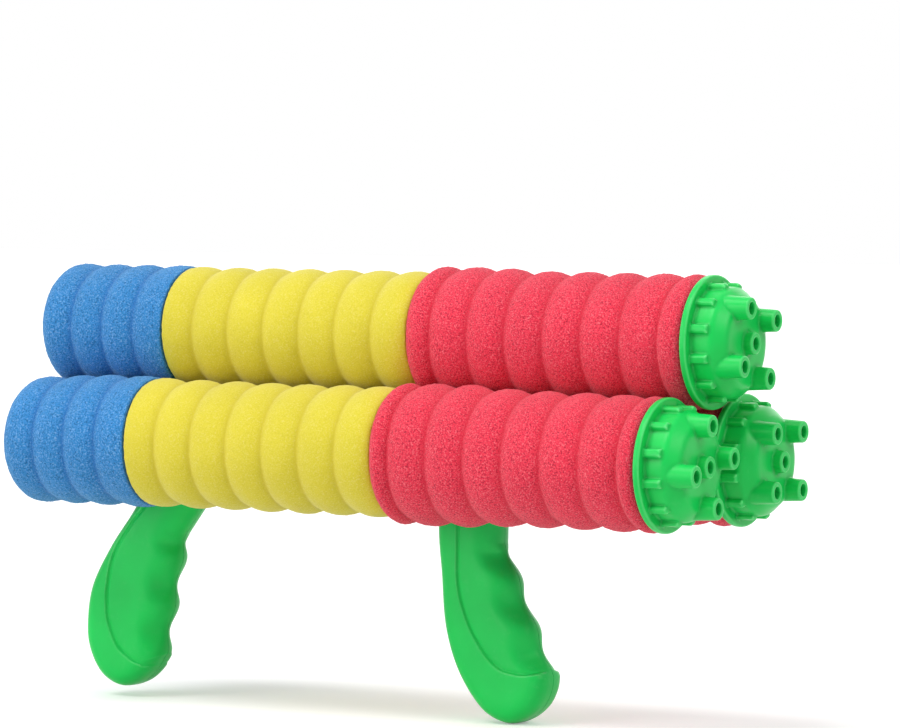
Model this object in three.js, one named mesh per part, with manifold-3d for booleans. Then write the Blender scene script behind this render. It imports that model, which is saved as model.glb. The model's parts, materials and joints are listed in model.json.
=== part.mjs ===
// Triple water squirter: three foam-sleeved pump barrels in a triangle with a front and a rear grip.
// Drawing the rear grip back slides the three pistons through the barrels and fills them with water.
// Millimetres. +X points to the nozzles, +Y to the user's left and +Z up.
import * as THREE from 'three';
import { mergeVertices } from 'three/addons/utils/BufferGeometryUtils.js';
import Module from 'manifold-3d';

const wasm = await Module();
wasm.setup();

// Fits
const fitGap = 0.3; // between pieces that seat on each other
const slideGap = 0.4; // round the rods, which slide
const overrun = 1; // of a cutting tool past the faces that it opens
const roundSides = 16; // facets round a barrel

// Barrels
const barrelRadius = 20;
const barrelWall = 1.6;
const barrelInCap = 12; // length of barrel inside the nozzle cap that is pushed on furthest

// Foam sleeves
const redFoam = 9.7; // thickness on the crest of a rib
const yellowFoam = 8.4;
const blueFoam = 8.9;
const redRibDepth = 3.1;
const yellowRibDepth = 2.6;
const blueRibDepth = 2.3;
const ribPitch = 19.2; // of the red and yellow sleeves
const blueRibPitch = 17.1;
const redEndRib = 12; // narrow rib at either end of a red sleeve
const yellowEndRib = 15.3; // rib at the rear end of a yellow sleeve
const yellowCut = -0.5; // where its end cuts that rib, from -1 at one crease to 1 at the next
const fullRibs = 6; // ribs of full width on a red or yellow sleeve
const blueRibs = 4;
const blueCut = 0.6; // where the front end of a blue sleeve cuts its last rib
const ribChords = 3; // chords that draw the arc of one rib
const sleeveGap = 1.4; // between the sleeves of neighbouring barrels

// Nozzle cap
const capFlangeInset = 0.2; // of the flange below the crest of the red sleeve
const capFlangeThickness = 3.2;
const capFlangeEdge = 0.8; // rounding of the flange rim
const capWall = 4.4; // between the barrel and the outside of the cap
const capSkirt = 11; // from the back of the flange to the shoulder
const capDome = 7.6; // rise of the face above the shoulder
const capFaceWall = 2.4;
const capRibs = 12;
const capRibWidth = 3;
const capRibHeight = 1.6;
const nozzleSides = 10;
const outerNozzles = 4;
const nozzleBaseRadius = 5.6;
const nozzleTipRadius = 4.9;
const nozzleBoreRadius = 2.75;
const nozzleInset = 6.3; // from the side of the cap to the axis of an outer nozzle
const nozzleReach = 14.7; // of an outer nozzle past the shoulder
const centreNozzleReach = 12.1;
const capTurns = { upper: 32, right: 10, left: 45 }; // degrees, as the caps happen to be set
const capPush = { upper: 0, right: 5.9, left: 0 }; // of a cap further on, which squeezes its red sleeve

// Guide collar in the rear end of a barrel
const collarFlange = 1.6;
const collarRim = 2.2; // of the flange past the barrel, let into the end of the yellow sleeve
const collarSpigot = 12;

// Rod and piston
const rodRadius = 10;
const rodWall = 1.6;
const pistonLength = 26;
const pistonSetback = 4; // behind the front end of the barrel
const pistonSkirt = 8; // narrow rear part of the piston
const pistonSkirtWall = 3.2; // round the rod's end
const rodInPiston = 14;
const pistonPlay = 0.6; // between piston and barrel, closed by the seal
const sealWidth = 4;
const sealDepth = 2.4;
const sealFromFront = 6;

// Pull tube and rear cap
const pullTubeSetback = 2; // of the tube behind the front end of its sleeve
const rearFlange = 1.5;
const rearFlangeDrop = 3.9; // of the flange below the crease of the blue sleeve
const rearFlangeEdge = 0.6;
const rearSpigot = 13;
const rearFloor = 3; // material behind the rod

// Brackets
const bracketLength = 20;
const bracketRingWall = 2.2;
const webThickness = 5;
const webInset = 4; // of the webs from the barrel axes towards the middle of the three
const tangThickness = 5;
const tangWidth = 10;
const neckInset = 3; // of the neck between the lower barrels from either end of the bracket
const tangDepth = 22; // below the sleeves
const rearBracketInset = 4; // from the blue sleeve's front end to the rear bracket
const frontBracketInset = 9; // from the red sleeve's rear end to the front bracket

// Grips: outlines in x from the middle of the bracket and z from the underside of the sleeves
const gripHalfWidth = 12;
const gripRim = 0.9; // step from the raised rim to the side panel
const gripRound = 8;
const gripRoundSteps = 2;
const gripWall = 2.4;
const gripRise = 14; // of the grip between the two lower barrels
const gripParting = 0.3; // between the two halves
const gripCurveSteps = 16; // chords along the back and heel
const fingerPitch = 22;
const fingerDepth = 1;
const fingerSteps = 4; // chords for one finger groove
const gripLip = 0.8; // of the heel past the finger grooves
const frontGrip = {
  back: [[-11.8, 26], [-12.6, -4], [-10.8, -24], [-8.3, -48.6], [-1.3, -68.7], [10.8, -85], [23, -90.8]],
  heel: [[32, -89], [39.5, -83], [43.4, -75.5]],
  front: [[43.7, -69], [19.3, -10], [19.8, 26]],
  firstBulge: -24.5,
  rim: [
    [-0.5, 40], [-0.3, -10], [0.6, -30], [5, -44], [10, -53.2],
    [16, -61], [22, -65.8], [29, -67.6], [38, -67.6], [60, -63],
  ],
  tangAt: 4,
  screws: { upper: [4, -12], middle: [12, -42], lower: [23, -75] },
};
const rearGrip = {
  back: [
    [-10.5, 26], [-10.5, 6], [-14.2, -2.5], [-26.9, -20],
    [-37.4, -39.6], [-40, -60.8], [-32.8, -79.4], [-17.4, -86.2],
  ],
  heel: [[-11, -83.6], [-3.9, -77.8]],
  front: [[0.6, -71], [11.3, -14], [20.6, -1], [21, 26]],
  firstBulge: -25.4,
  rim: [
    [-4, 40], [-5, 4], [-13, -8], [-22.5, -22], [-26.2, -38.5], [-26.5, -48],
    [-25.3, -56], [-20.5, -66.5], [-14, -72], [-8, -74.8], [-1, -75.4], [40, -68],
  ],
  tangAt: -1.2,
  screws: { upper: [-1.2, -12], middle: [-16, -42], lower: [-20, -69] },
};

// Screws through the grips
const screwRadius = 1.5;
const screwHeadRadius = 3;
const screwHeadHeight = 2;
const screwSides = 8;
const screwSink = 5.1; // of the head's seat below the side panel
const screwTipWall = 2.6; // material past the screw's tip
const bossWall = 1.6; // round a screw head

// Sizes that follow from the ones above
const boreRadius = barrelRadius - barrelWall;
const sleeveBore = barrelRadius + fitGap;
const redRadius = sleeveBore + redFoam;
const yellowRadius = sleeveBore + yellowFoam;
const blueRadius = sleeveBore + blueFoam;
const widestSleeve = Math.max(redRadius, yellowRadius, blueRadius);
const barrelSpacing = 2 * widestSleeve + sleeveGap;
const axes = {
  upper: { y: 0, z: barrelSpacing * Math.sqrt(0.75) },
  right: { y: -barrelSpacing / 2, z: 0 },
  left: { y: barrelSpacing / 2, z: 0 },
};
const barrelStart = collarFlange + fitGap;
const yellowStart = 0;
const yellowEnd = yellowEndRib + fullRibs * ribPitch;
const collarFlangeRadius = sleeveBore + collarRim;
const redStart = yellowEnd + fitGap;
const redEnd = redStart + 2 * redEndRib + fullRibs * ribPitch;
const capStart = redEnd + fitGap;
const barrelEnd = capStart - Math.max(...Object.values(capPush)) + barrelInCap;
const capBodyRadius = sleeveBore + capWall;
const blueEnd = -fitGap;
const blueStart = blueEnd - blueRibs * blueRibPitch;
const rearSeat = blueStart - fitGap;
const pistonFront = barrelEnd - pistonSetback;
const pistonRear = pistonFront - pistonLength;
const rodStart = rearSeat - rearFlange + rearFloor + fitGap;
const rodEnd = pistonRear + rodInPiston - fitGap;
const ringRadius = sleeveBore + bracketRingWall;
const frontBracketStart = redStart + frontBracketInset;
const rearBracketStart = blueEnd - rearBracketInset - bracketLength;
const panelHalfWidth = gripHalfWidth - gripRim;
const bossRadius = screwHeadRadius + fitGap + bossWall;
const screwSeat = panelHalfWidth - screwSink;
const screwReach = panelHalfWidth - screwTipWall;

// Geometry helpers

// Keeps only positions, joins equal points, drops flat triangles and turns the faces outward.
function closed(geometry) {
  const bare = geometry.index ? geometry.toNonIndexed() : geometry.clone();
  bare.deleteAttribute('normal');
  bare.deleteAttribute('uv');
  const merged = mergeVertices(bare, 1e-4);
  const index = merged.index.array;
  const position = merged.attributes.position;
  const corner = [new THREE.Vector3(), new THREE.Vector3(), new THREE.Vector3()];
  const kept = [];
  let volume = 0;
  for (let i = 0; i < index.length; i += 3) {
    const [a, b, c] = index.slice(i, i + 3);
    if (a !== b && b !== c && c !== a) {
      kept.push(a, b, c);
      [a, b, c].forEach((id, k) => corner[k].fromBufferAttribute(position, id));
      volume += corner[0].dot(corner[1].cross(corner[2]));
    }
  }
  merged.setIndex(volume < 0 ? kept.reverse() : kept);
  return merged;
}

function solidOf(geometry) {
  const { index, attributes } = closed(geometry);
  const mesh = new wasm.Mesh({
    numProp: 3,
    vertProperties: new Float32Array(attributes.position.array),
    triVerts: new Uint32Array(index.array),
  });
  return new wasm.Manifold(mesh);
}

function geometryOf(solid) {
  const { vertProperties, triVerts } = solid.getMesh();
  const geometry = new THREE.BufferGeometry();
  geometry.setAttribute('position', new THREE.BufferAttribute(new Float32Array(vertProperties), 3));
  geometry.setIndex(Array.from(triVerts));
  return geometry;
}

function join(solids) {
  return solids.reduce((sum, solid) => sum.add(solid));
}

function cut(solid, tools) {
  return tools.reduce((rest, tool) => rest.subtract(tool), solid);
}

// Revolves a profile of [x, radius] points round the X axis; a profile off the axis closes on itself.
function turned(profile, sides = roundSides) {
  const points = profile.map(([x, radius]) => new THREE.Vector2(radius, x));
  if (profile[0][1] > 0) points.push(points[0]);
  return closed(new THREE.LatheGeometry(points, sides).rotateZ(-Math.PI / 2));
}

function cylinder(radius, from, to, sides = roundSides) {
  return turned([[from, 0], [from, radius], [to, radius], [to, 0]], sides);
}

function tube(radius, wall, from, to) {
  return turned([[from, radius - wall], [from, radius], [to, radius], [to, radius - wall]]);
}

function box(from, to) {
  const size = to.map((value, k) => value - from[k]);
  const middle = to.map((value, k) => (value + from[k]) / 2);
  return new THREE.BoxGeometry(...size).translate(...middle);
}

// A round pin along Y, used for screws, bosses and their holes.
function crossPin(profile, [x, z], sides) {
  return turned(profile, sides).rotateZ(Math.PI / 2).translate(x, 0, z);
}

function crossCylinder(radius, from, to, place, sides = nozzleSides) {
  return crossPin([[from, 0], [from, radius], [to, radius], [to, 0]], place, sides);
}

// Barrel pieces, each along the X axis

// A rib from crease to crease, or from or to the place where the sleeve's end cuts it.
function rib(width, from = -1, to = 1) {
  return { width, from, to };
}

// Foam sleeve whose ribs are arcs that meet in sharp creases; a step widens the rear end of its bore.
function ribbedSleeve(start, ribs, crest, depth, step = []) {
  const outline = [];
  let x = start;
  for (const { width, from, to } of ribs) {
    for (let chord = 0; chord < ribChords; chord += 1) {
      const across = THREE.MathUtils.lerp(from, to, chord / ribChords);
      outline.push([x + width * chord / ribChords, crest - depth * across ** 2]);
    }
    x += width;
  }
  outline.push([x, crest - depth * ribs.at(-1).to ** 2]);
  const rear = step.length ? step : [[start, sleeveBore]];
  return turned([...outline, [x, sleeveBore], ...rear]);
}

function nozzleCap(turn, start) {
  const shoulder = capSkirt;
  const face = shoulder + capDome;
  const flange = redRadius - capFlangeInset;
  const bodyStart = capFlangeThickness - fitGap;
  const outside = solidOf(turned([
    [0, 0],
    [0, flange - capFlangeEdge],
    [capFlangeEdge, flange],
    [capFlangeThickness - capFlangeEdge, flange],
    [capFlangeThickness, flange - capFlangeEdge],
    [capFlangeThickness, capBodyRadius],
    [shoulder, capBodyRadius],
    [shoulder + 0.5 * capDome, capBodyRadius - 0.17 * capDome],
    [shoulder + 0.85 * capDome, capBodyRadius - 0.6 * capDome],
    [face, capBodyRadius - 1.3 * capDome],
    [face, 0],
  ]));
  const chamberEnd = face - capFaceWall;
  const chamber = solidOf(turned([
    [-fitGap, 0],
    [-fitGap, sleeveBore],
    [shoulder + 0.2 * capDome, sleeveBore],
    [chamberEnd, capBodyRadius - 1.4 * capDome],
    [chamberEnd, 0],
  ]));
  const ribs = [];
  for (let k = 0; k < capRibs; k += 1) {
    const rib = box(
      [bodyStart, -capRibWidth / 2, capBodyRadius - capRibHeight],
      [shoulder, capRibWidth / 2, capBodyRadius + capRibHeight],
    );
    ribs.push(solidOf(rib.rotateX(2 * Math.PI * (k + 0.5) / capRibs)));
  }
  const ring = capBodyRadius - nozzleInset;
  const nozzles = [];
  const bores = [];
  for (let k = 0; k < outerNozzles; k += 1) {
    const angle = THREE.MathUtils.degToRad(turn) + 2 * Math.PI * k / outerNozzles;
    const place = [0, ring * Math.cos(angle), ring * Math.sin(angle)];
    const tip = shoulder + nozzleReach;
    const nozzle = turned([
      [shoulder, 0], [shoulder, nozzleBaseRadius], [tip, nozzleTipRadius], [tip, 0],
    ], nozzleSides);
    const bore = cylinder(nozzleBoreRadius, barrelInCap + fitGap, tip + fitGap, nozzleSides);
    nozzles.push(solidOf(nozzle.translate(...place)));
    bores.push(solidOf(bore.translate(...place)));
  }
  const centreTip = shoulder + centreNozzleReach;
  nozzles.push(solidOf(cylinder(nozzleTipRadius, shoulder, centreTip, nozzleSides)));
  bores.push(solidOf(cylinder(nozzleBoreRadius, shoulder, centreTip + fitGap, nozzleSides)));
  const cap = cut(join([outside, ...ribs, ...nozzles]), [chamber, ...bores]);
  return geometryOf(cap).translate(start, 0, 0);
}

function guideCollar() {
  const spigotEnd = collarFlange + collarSpigot;
  const hole = rodRadius + slideGap;
  return turned([
    [0, hole],
    [0, collarFlangeRadius],
    [collarFlange, collarFlangeRadius],
    [collarFlange, boreRadius - fitGap],
    [spigotEnd, boreRadius - fitGap],
    [spigotEnd, hole],
  ]);
}

function pistonHead() {
  const radius = boreRadius - pistonPlay;
  const socket = rodRadius + fitGap;
  const grooveEnd = pistonFront - sealFromFront;
  const grooveStart = grooveEnd - sealWidth;
  return turned([
    [pistonRear + rodInPiston, 0],
    [pistonRear + rodInPiston, socket],
    [pistonRear, socket],
    [pistonRear, socket + pistonSkirtWall],
    [pistonRear + pistonSkirt, socket + pistonSkirtWall],
    [pistonRear + pistonSkirt, radius],
    [grooveStart, radius],
    [grooveStart, radius - sealDepth],
    [grooveEnd, radius - sealDepth],
    [grooveEnd, radius],
    [pistonFront, radius],
    [pistonFront, 0],
  ]);
}

function pistonSeal() {
  const inner = boreRadius - pistonPlay - sealDepth + fitGap;
  const outer = boreRadius - fitGap;
  const end = pistonFront - sealFromFront - fitGap;
  const start = end - sealWidth + 2 * fitGap;
  return turned([[start, inner], [start, outer], [end, outer], [end, inner]]);
}

function rearCap() {
  const back = rearSeat - rearFlange;
  const flange = blueRadius - blueRibDepth - rearFlangeDrop;
  const spigot = boreRadius - fitGap;
  const socket = rodRadius + fitGap;
  return turned([
    [back, 0],
    [back, flange - rearFlangeEdge],
    [back + rearFlangeEdge, flange],
    [rearSeat, flange],
    [rearSeat, spigot],
    [rearSeat + rearSpigot, spigot],
    [rearSeat + rearSpigot, socket],
    [back + rearFloor, socket],
    [back + rearFloor, 0],
  ]);
}

// Brackets and the slots that they need in the sleeves

// Webs between the three barrels, nearer the middle than their axes, and a neck down between the lower two,
// all grown by a clearance.
function webs(start, end, grow, inset) {
  const half = webThickness / 2 + grow;
  const pieces = [];
  const names = Object.keys(axes);
  names.forEach((name, k) => {
    const one = axes[name];
    const other = axes[names[(k + 1) % names.length]];
    const angle = Math.atan2(other.z - one.z, other.y - one.y);
    const web = box([start, 0, webInset - half], [end, barrelSpacing, webInset + half]);
    pieces.push(solidOf(web.rotateX(angle).translate(0, one.y, one.z)));
  });
  const neckHalf = tangThickness / 2 + grow;
  const neck = box([start + inset, -neckHalf, -widestSleeve], [end - inset, neckHalf, webInset]);
  pieces.push(solidOf(neck));
  return pieces;
}

function rings(start, end, radius) {
  return Object.values(axes).map(({ y, z }) => solidOf(cylinder(radius, start, end).translate(0, y, z)));
}

function bracket(start, grip) {
  const end = start + bracketLength;
  const middle = start + bracketLength / 2;
  const tangMiddle = middle + grip.tangAt;
  const tang = box(
    [tangMiddle - tangWidth / 2, -tangThickness / 2, -widestSleeve - tangDepth],
    [tangMiddle + tangWidth / 2, tangThickness / 2, gripRise - widestSleeve],
  );
  const [screwX, screwZ] = grip.screws.upper;
  const reach = tangThickness;
  const hole = crossCylinder(screwRadius + fitGap, -reach, reach, [middle + screwX, screwZ - widestSleeve]);
  const body = join([...rings(start, end, ringRadius), ...webs(start, end, 0, neckInset), solidOf(tang)]);
  return geometryOf(cut(body, [...rings(start - overrun, end + overrun, sleeveBore), solidOf(hole)]));
}

// Room in a sleeve for the bracket: grooves for the rings and slots that run out at the sleeve's end.
function bracketRoom(start, slotStart, slotEnd) {
  const grooves = rings(start - fitGap, start + bracketLength + fitGap, ringRadius + fitGap);
  return [...grooves, ...webs(slotStart, slotEnd, fitGap, 0)];
}

function slottedSleeve(sleeve, name, room) {
  const { y, z } = axes[name];
  const placed = solidOf(sleeve).translate([0, y, z]);
  return geometryOf(cut(placed, room)).translate(0, -y, -z);
}

// Grips

function toPoint([x, z]) {
  return new THREE.Vector2(x, z);
}

// Side view of a grip: back and heel as one curve, then the front edge with its finger grooves.
function gripOutline(grip, grooveDepth, frontShift) {
  const [low, high, ...top] = grip.front;
  const curve = [...grip.back, ...grip.heel, [low[0] + frontShift, low[1]]];
  const outline = new THREE.SplineCurve(curve.map(toPoint)).getPoints(gripCurveSteps);
  const steps = grooveDepth > 0 ? Math.round(fingerSteps * (high[1] - low[1]) / fingerPitch) : 1;
  for (let step = 1; step <= steps; step += 1) {
    const x = THREE.MathUtils.lerp(low[0], high[0], step / steps);
    const z = THREE.MathUtils.lerp(low[1], high[1], step / steps);
    const wave = Math.cos(2 * Math.PI * (z - grip.firstBulge) / fingerPitch);
    outline.push(new THREE.Vector2(x + frontShift + grooveDepth * wave, z));
  }
  return [...outline, ...top.map(toPoint)];
}

// A slab across Y with rounded edges, in the side view's outline drawn in by an inset.
function roundedSlab(outline, halfWidth, round, inset) {
  const geometry = new THREE.ExtrudeGeometry(new THREE.Shape(outline), {
    depth: 2 * (halfWidth - round),
    bevelThickness: round,
    bevelSize: round,
    bevelOffset: -round - inset,
    bevelSegments: gripRoundSteps,
  });
  return geometry.translate(0, 0, round - halfWidth).rotateX(Math.PI / 2);
}

function prism(outline, halfWidth) {
  const geometry = new THREE.ExtrudeGeometry(new THREE.Shape(outline), {
    depth: 2 * halfWidth,
    bevelEnabled: false,
  });
  return geometry.translate(0, 0, -halfWidth).rotateX(Math.PI / 2);
}

// The whole grip as a hollow shell, open between the barrels: a grooved body inside a raised rim.
function gripShell(grip) {
  const bodyRound = gripRound - gripRim;
  const body = solidOf(roundedSlab(gripOutline(grip, fingerDepth, 0), panelHalfWidth, bodyRound, fitGap));
  const rimSlab = solidOf(roundedSlab(gripOutline(grip, 0, gripLip), gripHalfWidth, gripRound, 0));
  const rimCurve = new THREE.SplineCurve(grip.rim.map(toPoint)).getPoints(gripCurveSteps);
  const corner = new THREE.Vector2(grip.rim.at(-1)[0], grip.rim[0][1]);
  const panel = solidOf(prism([...rimCurve, corner], 2 * gripHalfWidth));
  const cavity = solidOf(roundedSlab(
    gripOutline(grip, 0, -fingerDepth),
    panelHalfWidth - gripWall,
    bodyRound - gripWall,
    gripWall,
  ));
  return body.add(rimSlab.subtract(panel)).subtract(cavity);
}

// One half of a grip, side 1 for the left half that takes the screw heads and -1 for the right half.
function gripHalf(grip, middle, side) {
  const far = 4 * gripHalfWidth;
  const reach = 20 * gripHalfWidth;
  const parting = gripParting / 2;
  const keep = side > 0
    ? box([-reach, parting, -reach], [reach, far, gripRise])
    : box([-reach, -far, -reach], [reach, -parting, gripRise]);
  const bossEnd = panelHalfWidth - gripWall / 2;
  const bosses = [];
  const holes = [];
  for (const [name, place] of Object.entries(grip.screws)) {
    const bossStart = name === 'upper' ? tangThickness / 2 + fitGap : parting;
    const ends = [side * bossStart, side * bossEnd].sort((a, b) => a - b);
    bosses.push(solidOf(crossCylinder(bossRadius, ...ends, place)));
    if (side > 0) {
      holes.push(solidOf(crossCylinder(screwRadius + fitGap, -parting, far, place)));
      holes.push(solidOf(crossCylinder(screwHeadRadius + fitGap, screwSeat, far, place)));
    } else {
      holes.push(solidOf(crossCylinder(screwRadius + fitGap, -screwReach - 2 * fitGap, parting, place)));
    }
  }
  const cradles = [axes.right, axes.left].map(({ y }) => {
    const room = cylinder(widestSleeve + fitGap, -reach, reach);
    return solidOf(room.translate(0, y, widestSleeve));
  });
  const half = join([gripShell(grip).intersect(solidOf(keep)), ...bosses]);
  return geometryOf(cut(half, [...cradles, ...holes])).translate(middle, 0, -widestSleeve);
}

function gripScrew([x, z], middle) {
  const seat = screwSeat + fitGap;
  const screw = crossPin([
    [-screwReach, 0],
    [-screwReach, screwRadius],
    [seat, screwRadius],
    [seat, screwHeadRadius],
    [seat + screwHeadHeight, screwHeadRadius],
    [seat + screwHeadHeight, 0],
  ], [x, z], screwSides);
  return screw.translate(middle, 0, -widestSleeve);
}

// Assembly
const finishes = {
  redFoam: { color: 0xe23a56, roughness: 0.95, metalness: 0 },
  yellowFoam: { color: 0xf0dc4a, roughness: 0.95, metalness: 0 },
  blueFoam: { color: 0x3d84cc, roughness: 0.95, metalness: 0 },
  greenPlastic: { color: 0x22c055, roughness: 0.4, metalness: 0 },
  whitePipe: { color: 0xe4e6e6, roughness: 0.45, metalness: 0 },
  blackRubber: { color: 0x1d1d1f, roughness: 0.8, metalness: 0 },
  steel: { color: 0xb9bdc2, roughness: 0.35, metalness: 1 },
};

const squirter = new THREE.Group();

function addPiece(name, geometry, finish, { y, z } = { y: 0, z: 0 }) {
  const piece = new THREE.Mesh(geometry, new THREE.MeshStandardMaterial(finishes[finish]));
  piece.name = name;
  piece.position.set(0, y, z);
  squirter.add(piece);
}

const fullRow = Array(fullRibs).fill(rib(ribPitch));
const yellowRow = [rib(yellowEndRib, yellowCut), ...fullRow];
const blueRow = [...Array(blueRibs - 1).fill(rib(blueRibPitch)), rib(blueRibPitch, -1, blueCut)];
const collarSeat = collarFlangeRadius + fitGap;
const collarStep = [[barrelStart, sleeveBore], [barrelStart, collarSeat], [yellowStart, collarSeat]];
const blueSleeve = ribbedSleeve(blueStart, blueRow, blueRadius, blueRibDepth);
const frontSlotEnd = frontBracketStart + bracketLength + fitGap;
const frontRoom = bracketRoom(frontBracketStart, redStart - overrun, frontSlotEnd);
const rearRoom = bracketRoom(rearBracketStart, rearBracketStart - fitGap, blueEnd + overrun);

for (const [name, axis] of Object.entries(axes)) {
  addPiece(`barrel_tube_${name}`, tube(barrelRadius, barrelWall, barrelStart, barrelEnd), 'whitePipe', axis);
  addPiece(`nozzle_cap_${name}`, nozzleCap(capTurns[name], capStart - capPush[name]), 'greenPlastic', axis);
  const endRib = rib(redEndRib - capPush[name] / 2);
  const redSleeve = ribbedSleeve(redStart, [endRib, ...fullRow, endRib], redRadius, redRibDepth);
  addPiece(`red_foam_${name}`, slottedSleeve(redSleeve, name, frontRoom), 'redFoam', axis);
  const yellowSleeve = ribbedSleeve(yellowStart, yellowRow, yellowRadius, yellowRibDepth, collarStep);
  addPiece(`yellow_foam_${name}`, yellowSleeve, 'yellowFoam', axis);
  addPiece(`guide_collar_${name}`, guideCollar(), 'greenPlastic', axis);
  addPiece(`plunger_rod_${name}`, tube(rodRadius, rodWall, rodStart, rodEnd), 'whitePipe', axis);
  addPiece(`piston_head_${name}`, pistonHead(), 'greenPlastic', axis);
  addPiece(`piston_seal_${name}`, pistonSeal(), 'blackRubber', axis);
  const pullTube = tube(barrelRadius, barrelWall, rearSeat + fitGap, blueEnd - pullTubeSetback);
  addPiece(`pull_tube_${name}`, pullTube, 'whitePipe', axis);
  addPiece(`blue_foam_${name}`, slottedSleeve(blueSleeve, name, rearRoom), 'blueFoam', axis);
  addPiece(`rear_cap_${name}`, rearCap(), 'greenPlastic', axis);
}

const gripUnits = { front: [frontGrip, frontBracketStart], rear: [rearGrip, rearBracketStart] };
for (const [unit, [grip, start]] of Object.entries(gripUnits)) {
  const middle = start + bracketLength / 2;
  addPiece(`${unit}_bracket`, bracket(start, grip), 'greenPlastic');
  addPiece(`${unit}_grip_right`, gripHalf(grip, middle, -1), 'greenPlastic');
  addPiece(`${unit}_grip_left`, gripHalf(grip, middle, 1), 'greenPlastic');
  for (const [name, place] of Object.entries(grip.screws)) {
    addPiece(`${unit}_screw_${name}`, gripScrew(place, middle), 'steel');
  }
}

// The origin is under the middle of the object, at the height of the lower grip's tip.
const bounds = new THREE.Box3().setFromObject(squirter);
squirter.position.set(-(bounds.min.x + bounds.max.x) / 2, 0, -bounds.min.z);

const model = new THREE.Group();
model.add(squirter);
export default model;
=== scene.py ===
import json
import math

import bmesh
import bpy
import numpy as np
from mathutils import Matrix, Vector, kdtree, noise


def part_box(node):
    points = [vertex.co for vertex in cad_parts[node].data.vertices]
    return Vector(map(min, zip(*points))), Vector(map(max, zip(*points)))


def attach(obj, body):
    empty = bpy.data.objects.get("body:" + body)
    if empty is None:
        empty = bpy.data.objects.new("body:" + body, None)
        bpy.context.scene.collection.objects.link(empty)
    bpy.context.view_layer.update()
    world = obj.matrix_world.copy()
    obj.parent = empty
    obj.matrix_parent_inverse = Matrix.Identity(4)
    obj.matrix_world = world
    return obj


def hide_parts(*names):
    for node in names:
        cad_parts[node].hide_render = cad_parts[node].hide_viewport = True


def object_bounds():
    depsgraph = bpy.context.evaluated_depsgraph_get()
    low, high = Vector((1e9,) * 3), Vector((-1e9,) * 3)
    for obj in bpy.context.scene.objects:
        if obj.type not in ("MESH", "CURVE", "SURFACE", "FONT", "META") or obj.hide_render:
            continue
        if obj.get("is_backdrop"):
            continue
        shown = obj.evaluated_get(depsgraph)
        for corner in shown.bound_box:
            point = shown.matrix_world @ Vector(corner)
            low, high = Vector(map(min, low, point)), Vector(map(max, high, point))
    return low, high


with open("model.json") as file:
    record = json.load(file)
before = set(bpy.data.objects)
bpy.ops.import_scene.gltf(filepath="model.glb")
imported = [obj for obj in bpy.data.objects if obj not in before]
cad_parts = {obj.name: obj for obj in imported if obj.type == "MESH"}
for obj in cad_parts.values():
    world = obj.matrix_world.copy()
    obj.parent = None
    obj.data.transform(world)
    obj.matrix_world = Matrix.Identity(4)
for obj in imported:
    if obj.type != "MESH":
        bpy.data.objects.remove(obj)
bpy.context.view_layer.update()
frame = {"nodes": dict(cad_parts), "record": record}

mm = 0.001
onAxis = 1e-9  # a smaller radius is a point on the axis
# the marks are a painted highlight on standing edges and painted shade in hollows
markRounds = {"standingHighlight": 3, "hollow": 24}  # how far the marks on plastic spread
sides = ("upper", "right", "left")  # the three barrels
colours = {m["slot"]: m["base_color"] for m in frame["record"]["materials"]}
pieceCount = 0


# Mesh helpers

def axisOf(side):
    low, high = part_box(f"barrel_tube_{side}")
    return Vector((0, (low.y + high.y) / 2, (low.z + high.z) / 2))


def addTurned(bm, profile, steps, centre, turn=None):
    # revolves (x, radius) points round a line along X; a profile off the axis closes on itself
    move = Matrix.Translation(centre) @ (turn or Matrix())
    rings = []
    for x, radius in profile:
        if radius < onAxis:
            rings.append([bm.verts.new(move @ Vector((x, 0, 0)))])
            continue
        ring = []
        for k in range(steps):
            angle = 2 * math.pi * k / steps
            spoke = Vector((x, radius * math.cos(angle), radius * math.sin(angle)))
            ring.append(bm.verts.new(move @ spoke))
        rings.append(ring)
    pairs = list(zip(rings, rings[1:]))
    if profile[0][1] > onAxis:
        pairs.append((rings[-1], rings[0]))
    for one, other in pairs:
        for k in range(steps):
            n = (k + 1) % steps
            corners = [one[k % len(one)], one[n % len(one)]]
            corners += [other[n % len(other)], other[k % len(other)]]
            corners = list(dict.fromkeys(corners))
            if len(corners) > 2:
                bm.faces.new(corners)
    return rings


def addBox(bm, low, high, turn=None):
    xs, ys, zs = zip(low, high)
    corners = [Vector((x, y, z)) for x in xs for y in ys for z in zs]
    if turn:
        corners = [turn @ c for c in corners]
    v = [bm.verts.new(c) for c in corners]
    for face in ((0, 1, 3, 2), (4, 6, 7, 5), (0, 4, 5, 1), (2, 3, 7, 6), (0, 2, 6, 4), (1, 5, 7, 3)):
        bm.faces.new([v[i] for i in face])


def objectFrom(name, bm):
    bmesh.ops.recalc_face_normals(bm, faces=bm.faces[:])
    mesh = bpy.data.meshes.new(name)
    bm.to_mesh(mesh)
    bm.free()
    made = bpy.data.objects.new(name, mesh)
    bpy.context.collection.objects.link(made)
    return made


def bake(piece):
    evaluated = piece.evaluated_get(bpy.context.evaluated_depsgraph_get())
    mesh = bpy.data.meshes.new_from_object(evaluated)
    old = piece.data
    piece.modifiers.clear()
    piece.data = mesh
    bpy.data.meshes.remove(old)


def skin(piece, voxel, softness):
    # one closed skin over the joined forms, with softened inner corners
    remesh = piece.modifiers.new("skin", "REMESH")
    remesh.mode = "VOXEL"
    remesh.voxel_size = voxel
    if softness:
        smooth = piece.modifiers.new("soften", "SMOOTH")
        smooth.factor = 0.5
        smooth.iterations = softness
    bake(piece)


def cutAway(piece, tool):
    cut = piece.modifiers.new("cut", "BOOLEAN")
    cut.operation = "DIFFERENCE"
    cut.solver = "MANIFOLD"
    cut.object = tool
    bake(piece)
    mesh = tool.data
    bpy.data.objects.remove(tool)
    bpy.data.meshes.remove(mesh)


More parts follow.
